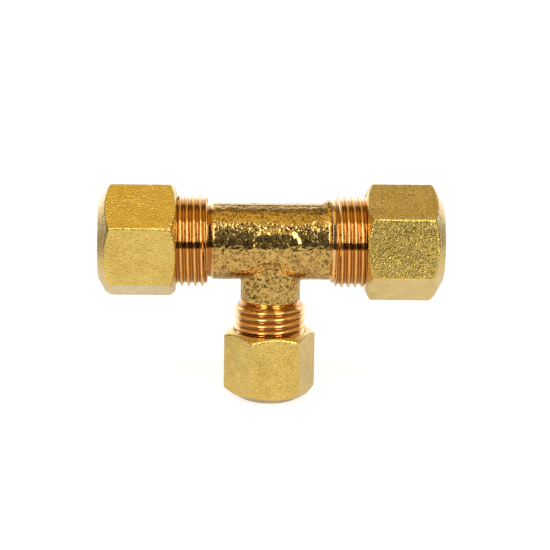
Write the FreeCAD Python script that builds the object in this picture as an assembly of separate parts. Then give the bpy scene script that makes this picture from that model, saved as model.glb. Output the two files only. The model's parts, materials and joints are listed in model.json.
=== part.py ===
import FreeCAD, Part
import math
import os

# A brass reducing union tee for compression joints: one forged body with three externally threaded
# ports, and on each port a ferrule and a hexagonal compression nut. The run joins two tubes of one
# size in line, and the branch takes a smaller tube. The fitting stands on its branch nut.
#
# Row frame: millimetres, +Z up, +X along the run, -Y towards the side that carries the raised pad.
# The origin is the centre of the branch nut's end face.
# Each port is first built in a port frame of its own: the origin is the crossing of the tee's axes
# and +Z points out of the port.

INCH = 25.4

# Sizes shared by the three ports
THREAD_PITCH = INCH / 24          # 24 threads per inch on every port
THREAD_HALF_ANGLE = 30.0          # 60 degree unified form
PORT_WALL = INCH * 3 / 32         # tube surface to male thread crest
NUT_WALL = INCH * 1 / 32          # male thread crest to wrench flat
THREAD_CLEARANCE = 0.08           # radial, between male and female thread
END_CHAMFER_BELOW_ROOT = 0.10     # radial, how far the male thread's end chamfer passes its root
THREAD_START_CHAMFER = 0.35       # on the inner end of the male thread
THREAD_ENTRY_ANGLE = 100.0        # about the port's axis, where male and female thread both begin
RELIEF_DEPTH = 0.10               # radial, where the thread begins, below its root
FLARE_LENGTH = 0.45               # from the forged skin out to a cylindrical relief
UNDERCUT_DEPTH = 0.40             # tapered relief at its thread end, below the forged skin
CORE_OVERLAP = 1.0                # how far each turned end reaches into the forging
NUT_MOUTH_CHAMFER = 0.55          # lead-in of the female thread, beyond its root

SOCKET_CLEARANCE = 0.075          # radial, tube to its socket in the body
FERRULE_BORE_CLEARANCE = 0.05     # radial, tube to ferrule
NUT_HOLE_CLEARANCE = 0.15         # radial, tube to the nut's end hole
SEAT_HALF_ANGLE = 24.0            # cone in the body's mouth
SEAT_DEPTH = 2.5                  # length of that cone along the axis
NUT_CONE_HALF_ANGLE = 45.0        # cone inside the nut
SEAT_GAP = 0.05                   # each cone to the ferrule, nut run up by hand and not tightened
FERRULE_WALL = 0.92               # thickness of the ferrule's band
FERRULE_NOSE_LIP = 0.20           # flat ring left at the end that enters the body
FERRULE_TAIL_LIP = 0.30           # flat ring left at the end that the nut pushes

NUT_FACE_CHAMFER_ANGLE = 30.0     # at the nut's threaded end, measured from the face
NUT_END_CONE_ANGLE = 30.0         # at the nut's tube end, measured from the face
NUT_END_RING = 1.05               # width of the flat ring around the nut's tube hole

# Forged body
PAD_WIDTH = 8.9                   # blank marking pad on the front of the run
PAD_HEIGHT = 5.4
PAD_CORNER_R = 1.8
PAD_PROUD = 0.20                  # above the run's forged skin
PAD_LIFT = 0.3                    # above the run's axis
FORGING_FILLET = 0.7              # between the run and the branch neck


class RunPort:
    tube_d = INCH * 3 / 8
    waterway_d = 7.1
    forged_d = 11.8
    relief_start = 9.0            # centre to the inner edge of the thread relief
    thread_start = 9.8            # centre to the inner end of the thread
    body_length = 19.1            # centre to the body's end face
    socket_depth = 7.9
    ferrule_length = 6.1
    nut_length = 12.1
    nut_thread_depth = 7.1        # nut face to the start of its inner cone
    nut_face_ring = 0.29          # chamfer circle inside the flats, threaded end
    nut_corner_r = 0.3


class BranchPort:
    tube_d = INCH * 1 / 4
    waterway_d = 4.7
    forged_d = 9.2
    relief_start = 9.2
    thread_start = 9.8
    body_length = 17.9
    socket_depth = 6.4
    ferrule_length = 5.1
    nut_length = 10.95
    nut_thread_depth = 5.5
    nut_face_ring = 0.36
    nut_corner_r = 0.85


# How far each nut's corners stand turned about its own axis, in degrees
NUT_CLOCKING = {"left": 53.5, "right": 54.8, "branch": 52.6}
# The left and branch threads end in a tapered undercut, and the right one in a cylindrical relief
HAS_UNDERCUT = {"left": True, "right": False, "branch": True}

THREAD_FORM_HEIGHT = THREAD_PITCH / 2 / math.tan(math.radians(THREAD_HALF_ANGLE))
MALE_THREAD_DEPTH = 17 / 24 * THREAD_FORM_HEIGHT
CREST_TO_PITCH_LINE = 3 / 8 * THREAD_FORM_HEIGHT
THREAD_END_CHAMFER = MALE_THREAD_DEPTH + END_CHAMFER_BELOW_ROOT


def axial(radial_step, half_angle):
    """Length along the axis in which a cone of this half angle changes its radius by radial_step."""
    return radial_step / math.tan(math.radians(half_angle))


def axial_gap(half_angle):
    """Shift along the axis that parts two equal cones by the seat gap, square to their surface."""
    return SEAT_GAP / math.sin(math.radians(half_angle))


def crest_r(port):
    return port.tube_d / 2 + PORT_WALL


def root_r(port):
    return crest_r(port) - MALE_THREAD_DEPTH


def relief_r(port):
    return root_r(port) - RELIEF_DEPTH


def nut_minor_r(port):
    return root_r(port) + THREAD_CLEARANCE


def nut_flat_r(port):
    """Half of the nut's size across flats."""
    return crest_r(port) + NUT_WALL


def socket_r(port):
    return port.tube_d / 2 + SOCKET_CLEARANCE


def mouth_r(port):
    return socket_r(port) + SEAT_DEPTH * math.tan(math.radians(SEAT_HALF_ANGLE))


def nut_hole_r(port):
    return port.tube_d / 2 + NUT_HOLE_CLEARANCE


def ferrule_bore_r(port):
    return port.tube_d / 2 + FERRULE_BORE_CLEARANCE


def ferrule_nose(port):
    """Distance from the tee's centre to the ferrule's inner end."""
    nose_r = ferrule_bore_r(port) + FERRULE_NOSE_LIP
    seat = port.body_length - axial(mouth_r(port) - nose_r, SEAT_HALF_ANGLE)
    return seat + axial_gap(SEAT_HALF_ANGLE)


def ferrule_tail(port):
    """Distance from the tee's centre to the ferrule's outer end."""
    return ferrule_nose(port) + port.ferrule_length


def nut_cone_start(port):
    """Distance from the tee's centre to where the nut's inner cone begins."""
    tail_r = ferrule_bore_r(port) + FERRULE_TAIL_LIP
    along_cone = axial(nut_minor_r(port) - tail_r, NUT_CONE_HALF_ANGLE)
    return ferrule_tail(port) - along_cone + axial_gap(NUT_CONE_HALF_ANGLE)


def nut_face(port):
    """Distance from the tee's centre to the nut's threaded end."""
    return nut_cone_start(port) - port.nut_thread_depth


def nut_end(port):
    return nut_face(port) + port.nut_length


def revolved(outline):
    """Solid of revolution about Z from (radius, height) points."""
    points = [FreeCAD.Vector(r, 0, z) for r, z in outline]
    face = Part.Face(Part.makePolygon(points + points[:1]))
    return face.revolve(FreeCAD.Vector(), FreeCAD.Vector(0, 0, 1), 360)


def cylinder(radius, start, end):
    return Part.makeCylinder(radius, end - start, FreeCAD.Vector(0, 0, start))


def helical_groove(inner, outer, start, end):
    """Right-handed helical solid; inner and outer are (radius, half width) of its section."""
    corners = [(inner[0], -inner[1]), (outer[0], -outer[1]), (outer[0], outer[1]), (inner[0], inner[1])]
    points = [FreeCAD.Vector(r, 0, z) for r, z in corners]
    one_turn = Part.makeHelix(THREAD_PITCH, THREAD_PITCH, (inner[0] + outer[0]) / 2)
    turns = []
    for count in range(math.ceil((end - start) / THREAD_PITCH)):
        turn = one_turn.copy()
        turn.translate(FreeCAD.Vector(0, 0, count * THREAD_PITCH))
        turns.extend(turn.Edges)
    sweep = Part.BRepOffsetAPI.MakePipeShell(Part.Wire(turns))
    sweep.setBiNormalMode(FreeCAD.Vector(0, 0, 1))
    sweep.add(Part.makePolygon(points + points[:1]))
    sweep.build()
    sweep.makeSolid()
    groove = sweep.shape()
    groove.rotate(FreeCAD.Vector(), FreeCAD.Vector(0, 0, 1), THREAD_ENTRY_ANGLE)
    groove.translate(FreeCAD.Vector(0, 0, start))
    return groove


def flank_shift(radial_step):
    """Axial distance that a thread flank covers over a radial step."""
    return radial_step * math.tan(math.radians(THREAD_HALF_ANGLE))


def relief_outline(port, has_undercut):
    """Outline from the forged skin towards the inner end of the thread, as (radius, height) points."""
    forged = (port.forged_d / 2, port.relief_start)
    if has_undercut:
        return [forged, (port.forged_d / 2 - UNDERCUT_DEPTH, port.thread_start)]
    return [forged, (relief_r(port), port.relief_start + FLARE_LENGTH)]


def male_end(port, has_undercut):
    """Turned end of the body, from inside the forging to the end face, with its bores left solid."""
    crest = crest_r(port)
    root = root_r(port)
    end = port.body_length
    core_r = port.forged_d / 2 - CORE_OVERLAP
    core_start = port.relief_start - CORE_OVERLAP
    blank = revolved([
        (0, core_start),
        (core_r, core_start),
        (core_r, port.relief_start),
        *relief_outline(port, has_undercut),
        (relief_r(port), port.thread_start),
        (crest, port.thread_start + THREAD_START_CHAMFER),
        (crest, end - THREAD_END_CHAMFER),
        (crest - THREAD_END_CHAMFER, end),
        (0, end),
    ])
    outside = crest + THREAD_CLEARANCE
    pitch_line = crest - CREST_TO_PITCH_LINE
    inner = (root, THREAD_PITCH / 4 - flank_shift(pitch_line - root))
    outer = (outside, THREAD_PITCH / 4 + flank_shift(outside - pitch_line))
    groove = helical_groove(inner, outer, port.thread_start - THREAD_PITCH, end + THREAD_PITCH)
    return blank.cut(groove)


def port_bores(port):
    """Waterway, tube socket and mouth cone of one port, as one solid to take away."""
    shoulder = port.body_length - port.socket_depth
    return revolved([
        (0, 0),
        (port.waterway_d / 2, 0),
        (port.waterway_d / 2, shoulder),
        (socket_r(port), shoulder),
        (socket_r(port), port.body_length - SEAT_DEPTH),
        (mouth_r(port), port.body_length),
        (mouth_r(port), port.body_length + THREAD_PITCH),
        (0, port.body_length + THREAD_PITCH),
    ])


def hex_prism(port, start, end, clocking):
    """Hexagonal bar along Z with rounded corners."""
    corner = nut_flat_r(port) / math.cos(math.radians(30))
    points = []
    for step in range(6):
        angle = math.radians(60 * step + clocking)
        points.append(FreeCAD.Vector(corner * math.cos(angle), corner * math.sin(angle), start))
    bar = Part.Face(Part.makePolygon(points + points[:1])).extrude(FreeCAD.Vector(0, 0, end - start))
    uprights = [edge for edge in bar.Edges if abs(edge.tangentAt(edge.FirstParameter).z) > 0.99]
    return bar.makeFillet(port.nut_corner_r, uprights)


def compression_nut(port, clocking):
    """Hexagonal nut: threaded end towards the body, inner cone on the ferrule, hole for the tube."""
    face = nut_face(port)
    end = nut_end(port)
    cone_start = nut_cone_start(port)
    minor = nut_minor_r(port)
    hole = nut_hole_r(port)
    cone_end = cone_start + axial(minor - hole, NUT_CONE_HALF_ANGLE)
    corner = nut_flat_r(port) / math.cos(math.radians(30))
    face_ring = nut_flat_r(port) - port.nut_face_ring
    end_ring = hole + NUT_END_RING
    face_slope = math.tan(math.radians(NUT_FACE_CHAMFER_ANGLE))
    end_slope = math.tan(math.radians(NUT_END_CONE_ANGLE))
    chamfered = revolved([
        (0, face),
        (face_ring, face),
        (corner, face + (corner - face_ring) * face_slope),
        (corner, end - (corner - end_ring) * end_slope),
        (end_ring, end),
        (0, end),
    ])
    mouth = crest_r(port) + THREAD_CLEARANCE + NUT_MOUTH_CHAMFER - NUT_WALL / 2
    bore = revolved([
        (0, face),
        (mouth, face),
        (minor, face + mouth - minor),
        (minor, cone_start),
        (hole, cone_end),
        (hole, end),
        (0, end),
    ])
    outside = crest_r(port) + THREAD_CLEARANCE
    pitch_line = outside - CREST_TO_PITCH_LINE
    inside = minor - THREAD_CLEARANCE
    inner = (inside, THREAD_PITCH / 4 + flank_shift(pitch_line - inside))
    outer = (outside, THREAD_PITCH / 4 - flank_shift(outside - pitch_line))
    turns_below = math.ceil((face - port.thread_start) / THREAD_PITCH)
    start = port.thread_start + (turns_below - 1.5) * THREAD_PITCH
    turns_inside = math.floor((cone_start - start) / THREAD_PITCH - 0.5)
    groove = helical_groove(inner, outer, start, start + turns_inside * THREAD_PITCH)
    nut = hex_prism(port, face, end, clocking).common(chamfered)
    return nut.cut(bore).cut(groove)


def ferrule(port):
    """Brass sleeve with a long nose cone for the body's seat and a short tail cone for the nut."""
    bore = ferrule_bore_r(port)
    band = bore + FERRULE_WALL
    nose = ferrule_nose(port)
    tail = ferrule_tail(port)
    nose_r = bore + FERRULE_NOSE_LIP
    tail_r = bore + FERRULE_TAIL_LIP
    return revolved([
        (bore, nose),
        (nose_r, nose),
        (band, nose + axial(band - nose_r, SEAT_HALF_ANGLE)),
        (band, tail - axial(band - tail_r, NUT_CONE_HALF_ANGLE)),
        (tail_r, tail),
        (bore, tail),
    ])


def marking_pad():
    """Raised blank pad wrapped around the front of the run, about the tee's centre."""
    front = RunPort.forged_d / 2 + PAD_PROUD
    depth = front - RunPort.waterway_d / 2
    corner = FreeCAD.Vector(-PAD_WIDTH / 2, -front, PAD_LIFT - PAD_HEIGHT / 2)
    block = Part.makeBox(PAD_WIDTH, depth, PAD_HEIGHT, corner)
    corners = [edge for edge in block.Edges if abs(edge.tangentAt(edge.FirstParameter).y) > 0.99]
    block = block.makeFillet(PAD_CORNER_R, corners)
    return block.common(run_right(cylinder(front, -PAD_WIDTH, PAD_WIDTH)))


def branch_down(shape):
    """Turn a solid from its port frame to the branch, which points down."""
    turned = shape.copy()
    turned.rotate(FreeCAD.Vector(), FreeCAD.Vector(1, 0, 0), 180)
    return turned


def run_right(shape):
    turned = shape.copy()
    turned.rotate(FreeCAD.Vector(), FreeCAD.Vector(0, 1, 0), 90)
    return turned


def run_left(shape):
    turned = shape.copy()
    turned.rotate(FreeCAD.Vector(), FreeCAD.Vector(0, 1, 0), -90)
    return turned


PORTS = (
    ("left", run_left, RunPort),
    ("right", run_right, RunPort),
    ("branch", branch_down, BranchPort),
)


def forging():
    """The tee's forged middle: the run between its thread reliefs, the branch neck and the pad."""
    run_half = RunPort.relief_start
    run = run_right(cylinder(RunPort.forged_d / 2, -run_half, run_half))
    neck = branch_down(cylinder(BranchPort.forged_d / 2, 0, BranchPort.relief_start))
    tee = run.fuse(neck)
    neck_end = -BranchPort.relief_start
    crossing = [edge for edge in tee.Edges
                if abs(edge.BoundBox.XMax - BranchPort.forged_d / 2) < 0.01 and edge.BoundBox.ZMin > neck_end + 0.01]
    tee = tee.makeFillet(FORGING_FILLET, crossing)
    return tee.fuse(marking_pad())


def tee_body():
    body = forging()
    for side, place, port in PORTS:
        body = body.fuse(place(male_end(port, HAS_UNDERCUT[side])))
    for side, place, port in PORTS:
        body = body.cut(place(port_bores(port)))
    return body


def write(node, shape):
    """Stand the solid on the branch nut's end face and write it as one STEP file."""
    standing = shape.copy()
    standing.translate(FreeCAD.Vector(0, 0, nut_end(BranchPort)))
    solid = standing.Solids[0]
    if len(standing.Solids) != 1 or not solid.isValid():
        raise ValueError(node + " is not one valid solid")
    solid.exportStep("parts/" + node + ".step")


os.makedirs("parts", exist_ok=True)
write("tee_body", tee_body())
for side, place, port in PORTS:
    write("ferrule_" + side, place(ferrule(port)))
    write("nut_" + side, place(compression_nut(port, NUT_CLOCKING[side])))
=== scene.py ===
"""Looks of a brass reducing compression tee: forged skin, cut threads, blasted nuts, light and camera."""
import json
import math

import bmesh
import bpy
import numpy as np
from mathutils import Matrix, Vector, noise

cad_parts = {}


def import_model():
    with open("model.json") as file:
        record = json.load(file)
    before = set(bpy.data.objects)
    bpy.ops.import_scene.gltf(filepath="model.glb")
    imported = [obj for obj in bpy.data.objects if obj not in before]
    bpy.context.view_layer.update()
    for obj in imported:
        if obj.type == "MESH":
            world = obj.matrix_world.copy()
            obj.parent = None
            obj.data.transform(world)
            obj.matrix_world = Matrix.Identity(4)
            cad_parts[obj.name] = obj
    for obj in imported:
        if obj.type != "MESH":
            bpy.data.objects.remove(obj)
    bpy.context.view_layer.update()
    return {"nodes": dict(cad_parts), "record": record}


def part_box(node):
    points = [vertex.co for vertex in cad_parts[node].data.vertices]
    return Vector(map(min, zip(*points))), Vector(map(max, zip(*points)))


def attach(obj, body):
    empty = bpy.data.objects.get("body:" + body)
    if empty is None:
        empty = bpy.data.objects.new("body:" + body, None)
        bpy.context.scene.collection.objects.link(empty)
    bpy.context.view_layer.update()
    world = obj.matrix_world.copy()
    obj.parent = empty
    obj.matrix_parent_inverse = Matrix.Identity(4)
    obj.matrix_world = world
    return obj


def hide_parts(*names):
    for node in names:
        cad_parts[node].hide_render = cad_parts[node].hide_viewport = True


MM = 0.001
INCH = 25.4

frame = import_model()
nodes = frame["nodes"]
mounts = {mount["name"]: mount for mount in frame["record"]["mounts"]}
CROSSING = Vector((0, 0, mounts["tube_left"]["pos_m"][2]))

# Thread form and fits, in millimetres, as on the CAD pieces
PITCH = INCH / 24
FORM_HEIGHT = PITCH / 2 / math.tan(math.radians(30))
THREAD_DEPTH = 17 / 24 * FORM_HEIGHT
THREAD_CLEARANCE = 0.08
THREAD_ENTRY = math.radians(100)
THREAD_ROUNDING = 0.11
BLANK_ROUNDING = 0.05
BELOW_ROOT = 0.10
START_CHAMFER = 0.35
END_CHAMFER = THREAD_DEPTH + BELOW_ROOT
FLARE_LENGTH = 0.45
UNDERCUT_DEPTH = 0.40
UNDER_SKIN = 0.06
SOCKET_CLEARANCE = 0.075
PORT_WALL = INCH * 3 / 32
NUT_WALL = INCH / 32
NUT_HOLE_CLEARANCE = 0.15
NUT_MOUTH = 0.55
NUT_END_RING = 1.05
NUT_CHAMFER_SLOPE = math.tan(math.radians(30))

# Forged skin, in millimetres about the crossing of the tee's axes
PAD_HALF_WIDTH = 4.45
PAD_HALF_HEIGHT = 2.7
PAD_CORNER_R = 2.2
PAD_SHIFT = 0.15
PAD_LIFT = 0.3
PAD_PROUD = 0.20
PAD_FIELD_DEPTH = 0.08
FLASH_HALF_WIDTH = 0.75
FLASH_PROUD = 0.05
LIP_HEIGHT = 0.62
LIP_START = 7.2
LIP_SPREAD = math.radians(38)
SKIN_VOXEL = 0.10
SKIN_SMOOTHINGS = 18

# How finely the turned and milled surfaces are divided
THREAD_RING_GAP = 0.055
THREAD_POINTS_AROUND = 180
HEX_SIDE_POINTS = 62
HEX_CORNER_POINTS = 6
NUT_OUTSIDE_RINGS = (9, 72, 24, 9)
NUT_EDGE_EASINGS = 3


class Port:
    """One end of the tee in millimetres: its own +Z points out, from the crossing of the axes."""

    def __init__(self, side, turn, clocking, undercut, sizes):
        self.side = side
        self.place = Matrix.Translation(CROSSING) @ turn @ Matrix.Scale(MM, 4)
        self.outward = (turn @ Vector((0, 0, 1))).normalized()
        self.clocking = math.radians(clocking)
        self.undercut = undercut
        self.forged_r, self.relief_start, self.thread_start = sizes["body"]
        self.thread_depth, self.face_ring, self.corner_r = sizes["nut"]
        tube_r = mounts["tube_" + side]["dims"]["r_mm"] - SOCKET_CLEARANCE
        self.crest_r = tube_r + PORT_WALL
        self.root_r = self.crest_r - THREAD_DEPTH
        self.flat_r = self.crest_r + NUT_WALL
        self.hole_r = tube_r + NUT_HOLE_CLEARANCE
        self.body_end = self.reach("tee_body")[1]
        self.nut_face, self.nut_end = self.reach("nut_" + side)

    def reach(self, node):
        """Nearest and farthest distance of a node along the port, in millimetres."""
        low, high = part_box(node)
        along = [(corner - CROSSING).dot(self.outward) / MM for corner in (low, high)]
        return min(along), max(along)


RUN_SIZES = {"body": (5.9, 9.0, 9.8), "nut": (7.1, 0.29, 0.3)}
BRANCH_SIZES = {"body": (4.6, 9.2, 9.8), "nut": (5.5, 0.36, 0.85)}
PORTS = (
    Port("left", Matrix.Rotation(math.radians(-90), 4, "Y"), 53.5, True, RUN_SIZES),
    Port("right", Matrix.Rotation(math.radians(90), 4, "Y"), 54.8, False, RUN_SIZES),
    Port("branch", Matrix.Rotation(math.radians(180), 4, "X"), 52.6, True, BRANCH_SIZES),
)
RUN, BRANCH = PORTS[0], PORTS[2]


# ---------------------------------------------------------------- shared mesh work

def smooth_min(first, second, width):
    """Smaller of two values, rounded where they cross."""
    share = np.clip(0.5 + 0.5 * (second - first) / width, 0, 1)
    return second + (first - second) * share - width * share * (1 - share)


def smooth_max(first, second, width):
    return -smooth_min(-first, -second, width)


def ramp(value, start, end):
    """Smooth step from 0 at start to 1 at end."""
    t = np.clip((value - start) / (end - start), 0, 1)
    return t * t * (3 - 2 * t)


def noise_at(points, wavelength, seed):
    shift = Vector((seed * 17.3, seed * 5.1, seed * 9.7))
    return np.array([noise.noise(Vector(point) / wavelength + shift) for point in points])


def dimples_at(points, wavelength, seed):
    """Overlapping shot marks: 0 in the middle of a mark, rising to about 1 on the ridges between."""
    shift = Vector((seed * 11.9, seed * 7.7, seed * 3.3))
    nearest = [noise.voronoi(Vector(point) / wavelength + shift)[0][0] for point in points]
    return np.clip(np.array(nearest) / 0.8, 0, 1)


def read_points(mesh):
    """Places and normals of a mesh's vertices, as two arrays of rows."""
    count = len(mesh.vertices)
    points = np.empty(count * 3)
    normals = np.empty(count * 3)
    mesh.vertices.foreach_get("co", points)
    mesh.vertex_normals.foreach_get("vector", normals)
    return points.reshape(-1, 3), normals.reshape(-1, 3)


def piece_from(mesh, name):
    mesh.name = name
    for polygon in mesh.polygons:
        polygon.use_smooth = True
    piece = bpy.data.objects.new(name, mesh)
    bpy.context.scene.collection.objects.link(piece)
    return piece


def ring_mesh(rings, closed):
    """Mesh through rings of points of equal count; closed joins the last ring to the first."""
    count, around, _ = rings.shape
    here = np.arange(around)
    after = np.roll(here, -1)
    quads = []
    for index in range(count if closed else count - 1):
        first = index * around
        second = (index + 1) % count * around
        quads.append(np.stack([first + here, first + after, second + after, second + here], axis=1))
    mesh = bpy.data.meshes.new("rings")
    mesh.from_pydata(rings.reshape(-1, 3).tolist(), [], np.concatenate(quads).tolist())
    return mesh


def write_values(mesh, name, values):
    attribute = mesh.attributes.new(name, "FLOAT", "POINT")
    attribute.data.foreach_set("value", values.astype(np.float32).ravel())


def rings_from(radius, height, angle):
    return np.stack([radius * np.cos(angle), radius * np.sin(angle), height], axis=-1)


def thread_flank(port, height, angle):
    """Radius of the male thread's form, rounded at crest and root, anywhere along the port."""
    turns = (height - port.thread_start) / PITCH - (angle - THREAD_ENTRY) / (2 * math.pi)
    from_groove = np.abs(turns - np.round(turns)) * PITCH
    pitch_line = port.crest_r - 3 / 8 * FORM_HEIGHT
    flank = pitch_line + (from_groove - PITCH / 4) / math.tan(math.radians(30))
    return smooth_min(smooth_max(flank, port.root_r, THREAD_ROUNDING), port.crest_r, THREAD_ROUNDING)


# ---------------------------------------------------------------- threaded ends of the tee

def thread_blank(port):
    """Outline that the thread is cut into, from under the forged skin to the end face."""
    forged, crest = port.forged_r, port.crest_r
    relief = port.root_r - BELOW_ROOT
    start = port.thread_start
    under = [(port.relief_start - 0.5, forged - 0.25), (port.relief_start, forged - UNDER_SKIN)]
    if port.undercut:
        gap = [(start, forged - UNDERCUT_DEPTH)]
    else:
        gap = [(port.relief_start + FLARE_LENGTH, relief), (start, relief)]
    thread = [
        (start + 0.01, relief),
        (start + START_CHAMFER, crest),
        (port.body_end - END_CHAMFER, crest),
        (port.body_end, crest - END_CHAMFER),
    ]
    return np.array(under + gap + thread)


def threaded_end(port):
    """Outside of one threaded end in fine rings, with each point's height from root to crest."""
    outline = thread_blank(port)
    spaced = np.arange(outline[0, 0], port.body_end, THREAD_RING_GAP)
    heights = np.unique(np.concatenate([spaced, outline[:, 0]]))
    angles = np.linspace(0, 2 * math.pi, THREAD_POINTS_AROUND, endpoint=False)
    height, angle = np.meshgrid(heights, angles, indexing="ij")
    blank = np.interp(height, outline[:, 0], outline[:, 1])
    radius = smooth_min(blank, thread_flank(port, height, angle), BLANK_ROUNDING)
    mesh = ring_mesh(rings_from(radius, height, angle), closed=False)
    mesh.transform(port.place)
    crest = ramp(radius, port.root_r, port.crest_r)
    crest[height < port.thread_start] = 1
    write_values(mesh, "crest", crest)
    return piece_from(mesh, "tee_thread_" + port.side)


def tee_inside():
    """Copy of the tee's bores, sockets and end faces, without its forged and threaded outside."""
    mesh = nodes["tee_body"].data.copy()
    body = bmesh.new()
    body.from_mesh(mesh)
    outside = []
    for face in body.faces:
        place = (face.calc_center_median() - CROSSING) / MM
        bore = False
        for port in PORTS:
            depth = place.dot(port.outward)
            from_axis = (place - depth * port.outward).length
            in_socket = depth > port.thread_start + 1 and from_axis < port.crest_r - END_CHAMFER
            in_waterway = depth > 0 and from_axis < port.forged_r - 2
            bore = bore or in_socket or in_waterway
        if not bore:
            outside.append(face)
    bmesh.ops.delete(body, geom=outside, context="FACES")
    body.to_mesh(mesh)
    body.free()
    return piece_from(mesh, "tee_bores")


# ---------------------------------------------------------------- forged skin

def round_bar(shape, radius, length, around, place):
    bmesh.ops.create_cone(shape, cap_ends=True, segments=around, radius1=radius, radius2=radius,
                          depth=length, matrix=place)


def forged_blank():
    """Closed overlapping solids of the forging, in millimetres: run, neck and trimmed flash."""
    run_half = RUN.relief_start + 0.05
    neck_end = BRANCH.relief_start + 0.05
    shape = bmesh.new()
    along_x = Matrix.Rotation(math.radians(90), 4, "Y")
    neck_down = Matrix.Translation((0, 0, -neck_end / 2))
    round_bar(shape, RUN.forged_r, 2 * run_half, 180, along_x)
    round_bar(shape, BRANCH.forged_r, neck_end, 150, neck_down)
    run_flash = (2 * run_half, 2 * FLASH_HALF_WIDTH, 2 * (RUN.forged_r + FLASH_PROUD))
    bmesh.ops.create_cube(shape, size=1, matrix=Matrix.Diagonal((*run_flash, 1)))
    neck_flash = (2 * (BRANCH.forged_r + FLASH_PROUD), 2 * FLASH_HALF_WIDTH, neck_end)
    bmesh.ops.create_cube(shape, size=1, matrix=neck_down @ Matrix.Diagonal((*neck_flash, 1)))
    return shape


def remeshed(shape, voxel, smoothings):
    """One even quad mesh over the outside of overlapping closed solids."""
    source = bpy.data.objects.new("blank", bpy.data.meshes.new("blank"))
    shape.to_mesh(source.data)
    shape.free()
    bpy.context.scene.collection.objects.link(source)
    remesh = source.modifiers.new("even", "REMESH")
    remesh.mode = "VOXEL"
    remesh.voxel_size = voxel
    smooth = source.modifiers.new("blend", "SMOOTH")
    smooth.factor = 0.5
    smooth.iterations = smoothings
    graph = bpy.context.evaluated_depsgraph_get()
    mesh = bpy.data.meshes.new_from_object(source.evaluated_get(graph))
    bpy.data.objects.remove(source)
    return mesh


def rounded_box_distance(u, v, half_u, half_v, corner):
    """Signed distance to a rounded rectangle, negative inside."""
    du = np.abs(u) - (half_u - corner)
    dv = np.abs(v) - (half_v - corner)
    outside = np.hypot(np.maximum(du, 0), np.maximum(dv, 0))
    return outside + np.minimum(np.maximum(du, dv), 0) - corner


def pad_height(points):
    """Height of the blank marking pad above the run: soft rim, sunk field and low bar across it."""
    u = points[:, 0] - PAD_SHIFT
    v = points[:, 2] - PAD_LIFT
    edge = rounded_box_distance(u, v, PAD_HALF_WIDTH, PAD_HALF_HEIGHT, PAD_CORNER_R)
    field = rounded_box_distance(u, v, PAD_HALF_WIDTH - 0.85, PAD_HALF_HEIGHT - 0.75, 1.4)
    bar = rounded_box_distance(u, v - 0.1, PAD_HALF_WIDTH - 1.9, 0.34, 0.3)
    on_front = ramp(-points[:, 1], 3.2, 4.2)
    fade_left = 2.0 * ramp(-u, 1.8, 3.4)
    fade_right = 0.2 * ramp(u, 2.4, 3.4)
    fade_top = 0.4 * ramp(v, 0.6, 2.0)
    rim_width = 0.45 + fade_left + fade_right + fade_top
    raised = PAD_PROUD * ramp(-edge, -0.15, rim_width)
    sunk = PAD_FIELD_DEPTH * ramp(-field, -0.5, 0.9) * ramp(bar, -0.1, 0.6)
    return on_front * (raised - sunk)


def trimming_lip(points):
    """Metal pushed outwards on top of the run where the right thread's relief was cut."""
    around = np.arctan2(points[:, 1], points[:, 2])
    on_top = np.exp(-(around / LIP_SPREAD) ** 2)
    return LIP_HEIGHT * on_top * ramp(points[:, 0], LIP_START, RUN.relief_start) ** 2


def forged_relief(points):
    """Heights of the skin's own texture: its slow waves, and the small marks left by tumbling."""
    lumps = 0.045 * noise_at(points, 2.8, 1) + 0.030 * noise_at(points, 1.1, 2)
    coarse = 0.050 * (dimples_at(points, 0.66, 3) - 0.5)
    fine = 0.030 * (dimples_at(points, 0.40, 4) - 0.5)
    return lumps, coarse + fine


def open_skin_ends(mesh):
    """Take away the blank's caps, leaving the rounded rim of the skin at each port."""
    skin = bmesh.new()
    skin.from_mesh(mesh)
    caps = []
    for face in skin.faces:
        place = face.calc_center_median() / MM
        for port in PORTS:
            depth = place.dot(port.outward)
            from_axis = (place - depth * port.outward).length
            if depth > port.relief_start - 0.3 and from_axis < port.forged_r - 0.55:
                caps.append(face)
                break
    bmesh.ops.delete(skin, geom=caps, context="FACES")
    skin.transform(Matrix.Translation(CROSSING))
    skin.to_mesh(mesh)
    skin.free()


def forging_skin():
    """The rough forged middle of the tee, with its real relief in the mesh."""
    mesh = remeshed(forged_blank(), SKIN_VOXEL, SKIN_SMOOTHINGS)
    points, normals = read_points(mesh)
    lumps, marks = forged_relief(points)
    height = lumps + marks + pad_height(points) + trimming_lip(points)
    mesh.vertices.foreach_set("co", ((points + normals * height[:, None]) * MM).ravel())
    write_values(mesh, "relief", 0.5 + 10 * marks)
    open_skin_ends(mesh)
    return piece_from(mesh, "tee_forged_skin")


# ---------------------------------------------------------------- nuts

def hex_outline(port):
    """Angles and radii around a hexagon with rounded corners, evenly spaced along its sides."""
    corner = port.corner_r
    half_side = (port.flat_r - corner) * math.tan(math.radians(30))
    centre = (port.flat_r - corner) / math.cos(math.radians(30))
    along = np.linspace(-half_side, half_side, HEX_SIDE_POINTS)
    bend = np.radians(np.linspace(-30, 30, HEX_CORNER_POINTS + 2)[1:-1])
    side_x = np.full_like(along, port.flat_r)
    corner_x = centre + corner * np.cos(bend)
    corner_y = corner * np.sin(bend)
    turn = math.radians(30)
    x = np.concatenate([side_x, corner_x * math.cos(turn) - corner_y * math.sin(turn)])
    y = np.concatenate([along, corner_x * math.sin(turn) + corner_y * math.cos(turn)])
    radius = np.tile(np.hypot(x, y), 6)
    angle = np.concatenate([np.arctan2(y, x) + math.radians(60 * side) for side in range(6)])
    return angle + port.clocking + math.radians(30), radius


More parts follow.
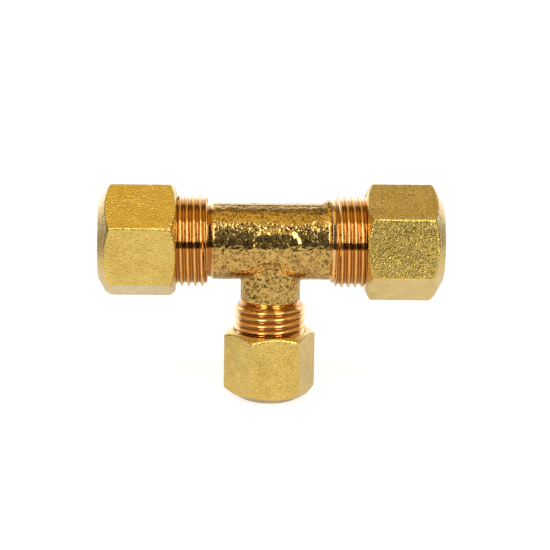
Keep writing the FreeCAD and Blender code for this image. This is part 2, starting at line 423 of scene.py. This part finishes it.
def stretch(first, second, steps):
    """Radii and heights from one profile point towards another, not including the second."""
    share = (np.arange(steps) / steps)[:, None]
    return first[0] + (second[0] - first[0]) * share, first[1] + (second[1] - first[1]) * share


def nut_outside(port, hexagon):
    """Profile of the nut's outside, from its threaded face to its tube hole, ring by ring."""
    face, end = port.nut_face, port.nut_end
    face_ring = port.flat_r - port.face_ring
    end_ring = port.hole_r + NUT_END_RING
    flat = np.zeros_like(hexagon)
    stops = [
        (flat + face_ring, flat + face),
        (hexagon, face + (hexagon - face_ring) * NUT_CHAMFER_SLOPE),
        (hexagon, end - (hexagon - end_ring) * NUT_CHAMFER_SLOPE),
        (flat + end_ring, flat + end),
        (flat + port.hole_r, flat + end),
    ]
    radii, heights = [], []
    for first, second, steps in zip(stops, stops[1:], NUT_OUTSIDE_RINGS):
        radius, height = stretch(first, second, steps)
        radii.append(radius)
        heights.append(height)
    return np.concatenate(radii), np.concatenate(heights)


def eased(profile, rounds):
    """Round a profile's corners along the rings, keeping its first and last ring."""
    for _ in range(rounds):
        profile[1:-1] = (profile[:-2] + 2 * profile[1:-1] + profile[2:]) / 4
    return profile


def nut_inside(port, angle):
    """Profile of the nut's inside, from the tube hole to its threaded face, ring by ring."""
    minor = port.root_r + THREAD_CLEARANCE
    cone_start = port.nut_face + port.thread_depth
    cone_end = cone_start + minor - port.hole_r
    mouth = port.crest_r + THREAD_CLEARANCE + NUT_MOUTH - NUT_WALL / 2
    hole = np.linspace(port.nut_end, cone_end, 12, endpoint=False)
    cone = np.linspace(cone_end, cone_start, 10, endpoint=False)
    thread = np.linspace(cone_start, port.nut_face, 84)
    height = np.concatenate([hole, cone, thread])[:, None] + np.zeros_like(angle)
    fade = ramp(cone_start - height, 0, PITCH / 2)
    threaded = minor + (thread_flank(port, height, angle) + THREAD_CLEARANCE - minor) * fade
    plain = np.clip(minor - (height - cone_start), port.hole_r, minor)
    radius = np.where(height < cone_start, threaded, plain)
    return np.maximum(radius, mouth - (height - port.nut_face)), height


def blasted_nut(port):
    """One compression nut with softened edges and its blasted grain in the mesh."""
    angle, hexagon = hex_outline(port)
    radius, height = nut_outside(port, hexagon)
    radius = eased(radius, NUT_EDGE_EASINGS)
    height = eased(height, NUT_EDGE_EASINGS)
    outer_rings = len(radius)
    inner_radius, inner_height = nut_inside(port, angle)
    radius = np.concatenate([radius, inner_radius])
    height = np.concatenate([height, inner_height])
    mesh = ring_mesh(rings_from(radius, height, angle + np.zeros_like(radius)), closed=True)
    points, normals = read_points(mesh)
    outside = slice(len(angle), (outer_rings - 3) * len(angle))
    seed = PORTS.index(port) + 5
    coarse = 0.013 * noise_at(points[outside], 0.75, seed)
    fine = 0.012 * noise_at(points[outside], 0.34, seed + 3)
    grain = coarse + fine
    points[outside] += normals[outside] * grain[:, None]
    mesh.vertices.foreach_set("co", points.ravel())
    mesh.transform(port.place)
    return piece_from(mesh, "nut_" + port.side + "_blasted")


# ---------------------------------------------------------------- materials

class Nodes:
    """Short way to build a material's nodes: each call adds one node and returns its main output."""

    def __init__(self, material):
        material.use_nodes = True
        self.tree = material.node_tree
        self.tree.nodes.clear()

    def add(self, kind, links=None, settings=None, output=0):
        node = self.tree.nodes.new(kind)
        for key, value in (settings or {}).items():
            if key in node.inputs:
                node.inputs[key].default_value = value
            else:
                setattr(node, key, value)
        for key, source in (links or {}).items():
            self.tree.links.new(source, node.inputs[key])
        return node.outputs[output] if node.outputs else node

    def feed(self, socket, value):
        """Give a socket another node's output, a colour or a number."""
        if isinstance(value, bpy.types.NodeSocket):
            self.tree.links.new(value, socket)
        elif isinstance(value, tuple):
            socket.default_value = (*value, 1.0)
        else:
            socket.default_value = value

    def place(self):
        return self.add("ShaderNodeTexCoord", output=3)

    def noise(self, place, scale_mm, detail=2.0, rough=0.5, swirl=0.0):
        settings = {"Scale": 1 / (scale_mm * MM), "Detail": detail, "Roughness": rough, "Distortion": swirl}
        return self.add("ShaderNodeTexNoise", {"Vector": place}, settings)

    def math(self, operation, *values):
        node = self.tree.nodes.new("ShaderNodeMath")
        node.operation = operation
        for socket, value in zip(node.inputs, values):
            self.feed(socket, value)
        return node.outputs[0]

    def spread(self, value, low, high, to_low, to_high):
        """Map low..high to to_low..to_high, held at both ends."""
        settings = {"From Min": low, "From Max": high, "To Min": to_low, "To Max": to_high}
        return self.add("ShaderNodeMapRange", {"Value": value}, settings)

    def blend(self, factor, first, second):
        """Colour from first to second; either may be a colour or another node's output."""
        node = self.tree.nodes.new("ShaderNodeMix")
        node.data_type = "RGBA"
        self.feed(node.inputs["Factor"], factor)
        self.feed(node.inputs[6], first)
        self.feed(node.inputs[7], second)
        return node.outputs[2]

    def split(self, vector):
        node = self.tree.nodes.new("ShaderNodeSeparateXYZ")
        self.tree.links.new(vector, node.inputs[0])
        return node.outputs

    def bands(self, value, stops):
        """Colours along a value from 0 to 1."""
        node = self.tree.nodes.new("ShaderNodeValToRGB")
        self.tree.links.new(value, node.inputs[0])
        elements = node.color_ramp.elements
        while len(elements) < len(stops):
            elements.new(0.5)
        for element, (position, colour) in zip(elements, stops):
            element.position = position
            element.color = (*colour, 1)
        return node.outputs[0]

    def bump(self, height, distance_mm, strength=1.0):
        settings = {"Strength": strength, "Distance": distance_mm * MM}
        return self.add("ShaderNodeBump", {"Height": height}, settings)

    def metal(self, colour, roughness, normal, film=0.0):
        """Metal surface, with a thin clear film of oil or lacquer where film is over 0."""
        links = {"Base Color": colour, "Roughness": roughness, "Normal": normal}
        settings = {"Metallic": 1.0, "Coat Weight": film, "Coat Roughness": 0.3}
        surface = self.add("ShaderNodeBsdfPrincipled", links, settings)
        self.add("ShaderNodeOutputMaterial", {"Surface": surface})


def forged_brass():
    """Raw forged and tumbled skin: dark in the low spots and worn bright on the high ones."""
    material = bpy.data.materials.new("forged_brass")
    net = Nodes(material)
    place = net.place()
    relief = net.add("ShaderNodeAttribute", settings={"attribute_name": "relief"}, output=2)
    stain = net.noise(place, 1.7, 4, 0.6)
    low = net.blend(stain, (0.10, 0.055, 0.012), (0.20, 0.12, 0.03))
    high = net.blend(stain, (0.58, 0.36, 0.10), (0.78, 0.52, 0.17))
    grain = net.noise(place, 0.50, 2, 0.5, swirl=1.4)
    height = net.math("MULTIPLY_ADD", grain, 1.6, net.math("MULTIPLY", relief, 0.6))
    worn = net.spread(height, 0.86, 1.28, 0.0, 1.0)
    colour = net.blend(worn, low, high)
    rough = net.spread(net.noise(place, 0.6, 3, 0.6), 0.3, 0.7, 0.13, 0.24)
    net.metal(colour, rough, net.bump(grain, 0.035, 0.7))
    return material


def turned_brass(name, painted_root_shade):
    """Lathe-turned brass with fine tool marks around each port's axis; where asked, painted shade darkens a
    thread's roots.
    """
    material = bpy.data.materials.new(name)
    net = Nodes(material)
    place = net.place()
    x, _, z = net.split(place)
    on_branch = net.math("LESS_THAN", z, CROSSING.z - 8 * MM)
    along = net.math("MULTIPLY_ADD", on_branch, net.math("SUBTRACT", z, x), x)
    across = {"noise_dimensions": "1D", "Scale": 1 / (0.05 * MM), "Detail": 3.0}
    lines = net.add("ShaderNodeTexNoise", {"W": along}, across)
    tint = net.noise(place, 3.0, 3, 0.6)
    colour = net.blend(tint, (0.84, 0.52, 0.19), (0.90, 0.61, 0.26))
    # Painted shade: a thread's roots are coloured dark brown, fading to full brass on the crests, in place
    # of the shade in its grooves.
    if painted_root_shade:
        crest = net.add("ShaderNodeAttribute", settings={"attribute_name": "crest"}, output=2)
        clear_of_root_shade = net.spread(crest, 0.15, 0.75, 0.0, 1.0)
        colour = net.blend(clear_of_root_shade, (0.52, 0.26, 0.075), colour)
    rough = net.spread(lines, 0.3, 0.7, 0.06, 0.14)
    net.metal(colour, rough, net.bump(lines, 0.004, 0.5))
    return material


def blasted_brass():
    """Hexagon bar with a fine blasted grain."""
    material = bpy.data.materials.new("nut_brass")
    net = Nodes(material)
    place = net.place()
    stain = net.noise(place, 2.4, 4, 0.6)
    grain = net.noise(place, 0.27, 2, 0.5)
    tone = net.math("MULTIPLY_ADD", grain, 0.5, net.math("MULTIPLY", stain, 0.5))
    colour = net.blend(net.spread(tone, 0.35, 0.65, 0.0, 1.0), (0.66, 0.44, 0.085), (0.86, 0.63, 0.17))
    rough = net.spread(net.noise(place, 1.1, 3, 0.6), 0.35, 0.65, 0.18, 0.27)
    net.metal(colour, rough, net.bump(grain, 0.095, 1.0), film=0.6)
    return material


def white_floor():
    """Table top that is near white to the camera and a softer white in the brass."""
    material = bpy.data.materials.new("white_floor")
    net = Nodes(material)
    paper = net.add("ShaderNodeBsdfPrincipled", settings={
        "Base Color": (0.57, 0.57, 0.57, 1), "Roughness": 0.9, "Emission Color": (1, 1, 1, 1),
        "Emission Strength": 0.28})
    shown = net.add("ShaderNodeBsdfPrincipled", settings={
        "Base Color": (0.3, 0.3, 0.3, 1), "Roughness": 0.8, "Emission Color": (1, 1, 1, 1),
        "Emission Strength": 0.80})
    surface = net.tree.nodes.new("ShaderNodeMixShader")
    for socket, source in zip(surface.inputs, (net.add("ShaderNodeLightPath", output=0), paper, shown)):
        net.tree.links.new(source, socket)
    net.add("ShaderNodeOutputMaterial", {"Surface": surface.outputs[0]})
    return material


def dress(piece, material):
    piece.data.materials.clear()
    piece.data.materials.append(material)


# ---------------------------------------------------------------- studio

def floor():
    """White table top, close around the fitting at its front and sides and deep behind it."""
    left, right, near, far = -0.10, 0.16, -0.155, 1.2
    mesh = bpy.data.meshes.new("floor")
    corners = [(left, near, 0), (right, near, 0), (right, far, 0), (left, far, 0)]
    mesh.from_pydata(corners, [], [(0, 1, 2, 3)])
    plane = piece_from(mesh, "floor")
    dress(plane, white_floor())


def from_angles(azimuth, elevation):
    """Unit vector towards a place seen from the object; azimuth 0 is the camera's side, -Y."""
    a = math.radians(azimuth)
    e = math.radians(elevation)
    return Vector((math.sin(a) * math.cos(e), -math.cos(a) * math.cos(e), math.sin(e)))


def softbox(name, azimuth, elevation, distance, width, height, radiance):
    """Rectangular lamp facing the fitting; radiance is how bright its face looks."""
    light = bpy.data.lights.new(name, "AREA")
    light.shape = "RECTANGLE"
    light.size = width
    light.size_y = height
    light.energy = radiance * math.pi * width * height
    lamp = bpy.data.objects.new(name, light)
    direction = from_angles(azimuth, elevation)
    lamp.location = CROSSING + direction * distance
    lamp.rotation_euler = direction.to_track_quat("Z", "Y").to_euler()
    bpy.context.scene.collection.objects.link(lamp)


def world():
    """Room around the set: white for the camera, and banded from front to back in reflections."""
    room = bpy.data.worlds.new("room")
    bpy.context.scene.world = room
    net = Nodes(room)
    x, y, z = net.split(net.add("ShaderNodeTexCoord", output=0))
    turn = net.math("ARCTAN2", z, net.math("MULTIPLY", y, -1.0))
    front_to_back = net.math("DIVIDE", net.math("ABSOLUTE", turn), math.pi)
    horizon = (0.04, 0.04, 0.04)
    front = (0.10, 0.10, 0.09)
    overhead = (0.90, 0.69, 0.25)
    behind = (0.30, 0.23, 0.13)
    backdrop = (1.5, 1.5, 1.5)
    levels = net.bands(front_to_back, [
        (0.0, horizon),
        (0.04, horizon),
        (0.08, front),
        (0.33, front),
        (0.39, overhead),
        (0.57, overhead),
        (0.63, behind),
        (0.73, behind),
        (0.80, backdrop),
    ])
    beside = net.spread(net.math("ABSOLUTE", x), 0.62, 0.82, 0.0, 1.0)
    at_sides = (0.15, 0.13, 0.12)
    around = net.blend(beside, levels, at_sides)
    seen = net.add("ShaderNodeLightPath", output=0)
    colour = net.blend(seen, around, (1.0, 1.0, 1.0))
    shown = net.add("ShaderNodeBackground", {"Color": colour}, {"Strength": 1.0})
    net.add("ShaderNodeOutputWorld", {"Surface": shown})


def camera():
    """View from the front and slightly above, moved a little to the left and rolled under a degree."""
    data = bpy.data.cameras.new("camera")
    data.sensor_width = 36.0
    data.lens = 162.4
    view = bpy.data.objects.new("camera", data)
    back = from_angles(azimuth=-1.54, elevation=13.86)
    distance = 388 * MM
    target = CROSSING + Vector((0.72, 0, -5.40)) * MM
    view.location = target + back * distance
    upright = back.to_track_quat("Z", "Y").to_matrix().to_4x4()
    roll = Matrix.Rotation(math.radians(0.9), 4, "Z")
    view.matrix_world = Matrix.Translation(view.location) @ upright @ roll
    bpy.context.scene.collection.objects.link(view)
    bpy.context.scene.camera = view


# ---------------------------------------------------------------- the fitting

skin = forging_skin()
dress(skin, forged_brass())
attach(skin, "tee")
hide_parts("tee_body")

turned = turned_brass("turned_brass", painted_root_shade=False)
# The cut threads carry painted shade in their roots.
cut_thread = turned_brass("thread_brass", painted_root_shade=True)
bores = tee_inside()
dress(bores, turned)
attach(bores, "tee")
for port in PORTS:
    end = threaded_end(port)
    dress(end, cut_thread)
    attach(end, "tee")

blasted = blasted_brass()
for port in PORTS:
    nut = blasted_nut(port)
    dress(nut, blasted)
    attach(nut, "nut_" + port.side)
    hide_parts("nut_" + port.side)
    dress(nodes["ferrule_" + port.side], turned)

floor()
softbox("front_left", azimuth=-34, elevation=35, distance=0.6, width=0.17, height=0.60, radiance=6.5)
softbox("front_right", azimuth=33, elevation=35, distance=0.6, width=0.22, height=0.60, radiance=5.8)
world()
camera()
bpy.context.scene.view_settings.view_transform = "Standard"
